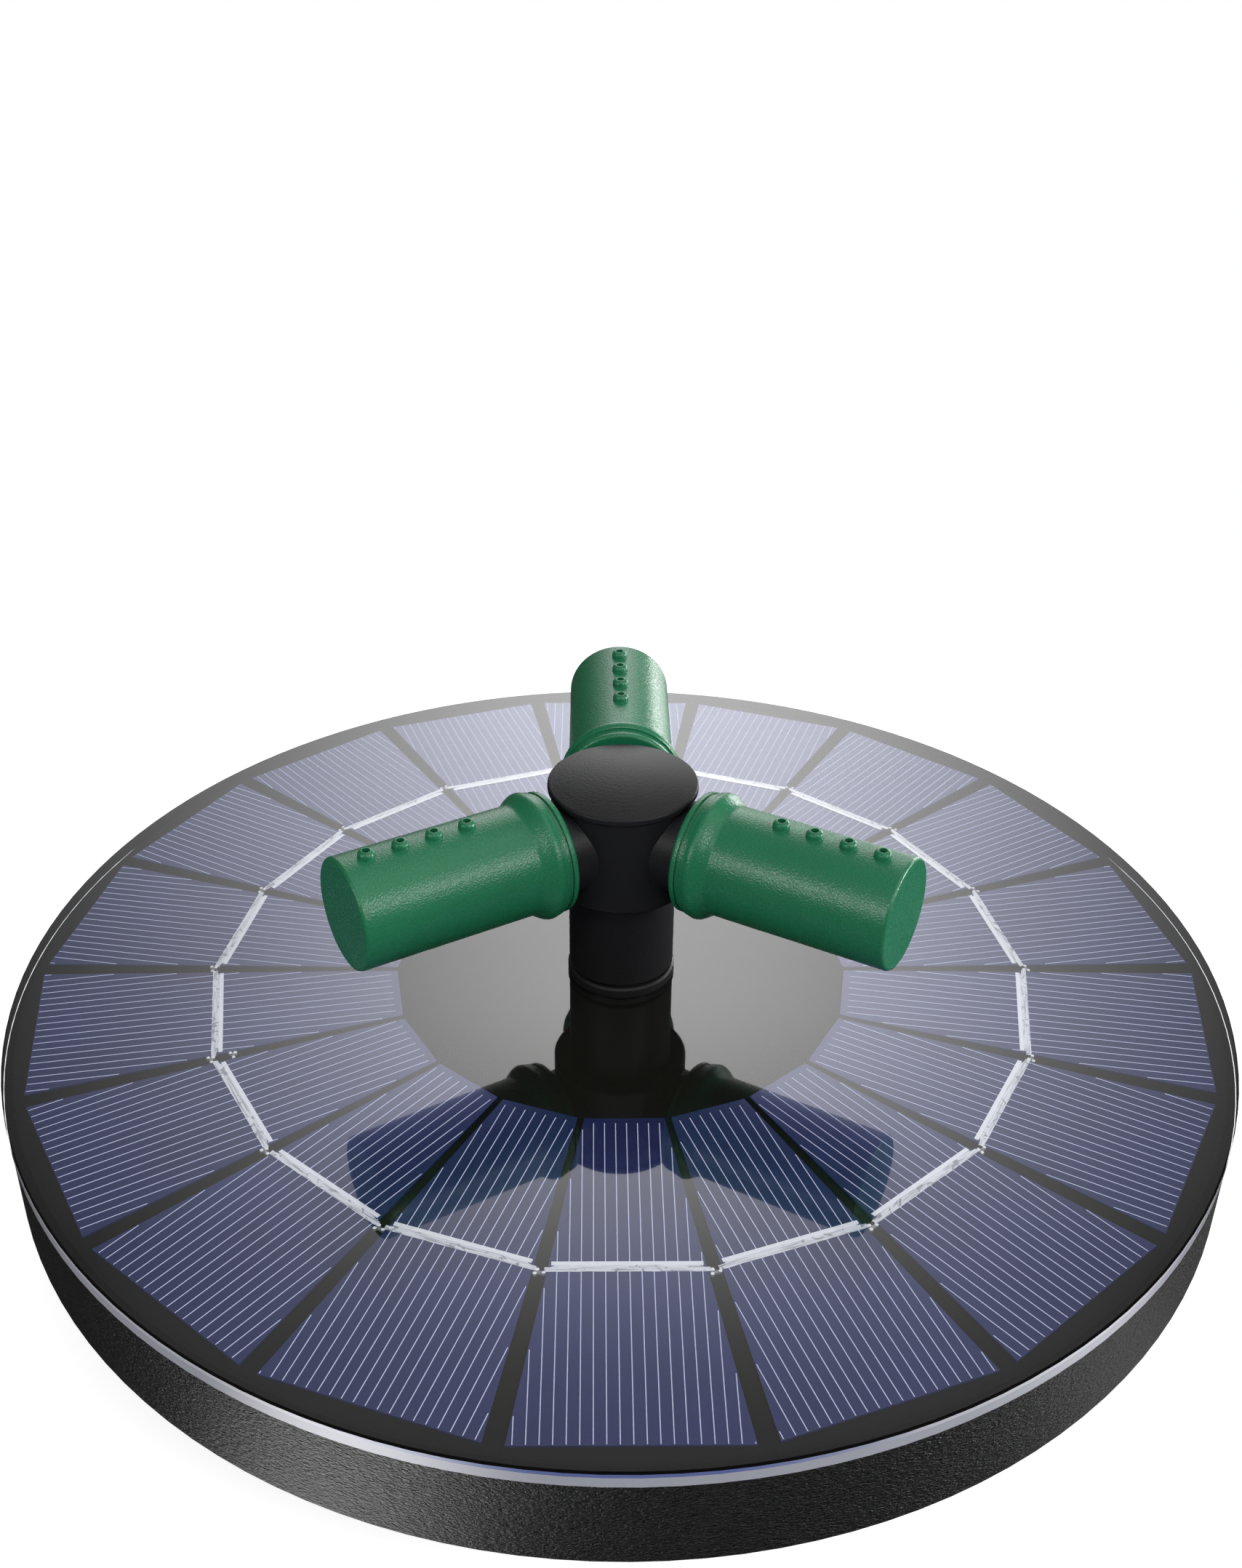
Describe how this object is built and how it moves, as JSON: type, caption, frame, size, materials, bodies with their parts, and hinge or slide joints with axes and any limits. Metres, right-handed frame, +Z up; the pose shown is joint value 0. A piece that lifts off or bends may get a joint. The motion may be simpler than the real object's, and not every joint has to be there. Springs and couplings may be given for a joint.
{
  "type": "solar fountain pump",
  "caption": "Round solar panel on a foam float, with a turning spray head of tube arms on a central stem and a small pump in a slotted basket underneath.",
  "frame": {"origin": "centre of the flat base of the strainer basket, which is also the bottom centre of the whole part's box", "axes": "+Z up along the stem through the panel's centre, -Y the front, between the left and right spray arms; the back arm points along +Y"},
  "size_m": [0.18, 0.18, 0.0742],
  "materials": {
    "clear_cover": "gloss",
    "solar_cell": "gloss",
    "tinned_copper": "satin",
    "solder": "satin",
    "board_black": "gloss",
    "foam_black": "matte",
    "abs_black": "satin",
    "abs_green": "satin",
    "seal_rubber": "matte",
    "gasket_foam": "matte",
    "pump_black": "matte",
    "screw_steel": "satin",
    "core_steel": "satin",
    "copper_wire": "gloss",
    "driver_green": "gloss",
    "pin_brass": "gloss",
    "shaft_ceramic": "polished",
    "impeller_white": "satin",
    "magnet_ferrite": "matte"
  },
  "bodies": {
    "base": {"top_cover": "clear_cover", "solar_cells": "solar_cell", "tabbing_ribbons": "tinned_copper", "solder_joints": "solder", "backing_board": "board_black", "float_ring": "foam_black", "outlet_collar": "abs_black", "outlet_grommet": "seal_rubber", "stem_o_ring": "seal_rubber", "mount_plate": "pump_black", "plate_gasket": "gasket_foam", "mounting_screws": "screw_steel", "volute_cover": "pump_black", "volute_o_ring": "seal_rubber", "motor_housing": "pump_black", "rear_cover": "pump_black", "stator_core": "core_steel", "stator_coils": "copper_wire", "driver_board": "driver_green", "power_pins": "pin_brass", "pump_shaft": "shaft_ceramic", "shaft_bush_front": "seal_rubber", "shaft_bush_rear": "seal_rubber"},
    "basket": {"strainer_basket": "pump_black"},
    "rotor": {"impeller": "impeller_white", "rotor_magnet": "magnet_ferrite"},
    "stem": {"stem_sleeve": "abs_black", "swivel_o_ring": "seal_rubber"},
    "head": {"manifold": "abs_black", "manifold_cap": "abs_black", "arm_o_ring_left": "seal_rubber", "arm_o_ring_right": "seal_rubber", "arm_o_ring_back": "seal_rubber"},
    "arm_left": {"spray_arm_left": "abs_green"},
    "arm_right": {"spray_arm_right": "abs_green"},
    "arm_back": {"spray_arm_back": "abs_green"}
  },
  "joints": [
    {"name": "basket_pull", "type": "slide", "parent": "base", "child": "basket", "axis": [0, 0, -1], "range_m": [0, 0.036]},
    {"name": "impeller_spin", "type": "hinge", "parent": "base", "child": "rotor", "pos_m": [-0.0065, 0, 0.016], "axis": [0, 1, 0], "continuous": true},
    {"name": "head_lift", "type": "slide", "parent": "base", "child": "stem", "axis": [0, 0, 1], "range_m": [0, 0.016]},
    {"name": "head_spin", "type": "hinge", "parent": "stem", "child": "head", "pos_m": [0, 0, 0.0566], "axis": [0, 0, 1], "continuous": true},
    {"name": "arm_left_turn", "type": "hinge", "parent": "head", "child": "arm_left", "pos_m": [0, 0, 0.0647], "axis": [-0.866, -0.5, 0], "continuous": true},
    {"name": "arm_right_turn", "type": "hinge", "parent": "head", "child": "arm_right", "pos_m": [0, 0, 0.0647], "axis": [0.866, -0.5, 0], "continuous": true},
    {"name": "arm_back_turn", "type": "hinge", "parent": "head", "child": "arm_back", "pos_m": [0, 0, 0.0647], "axis": [0, 1, 0], "continuous": true}
  ]
}
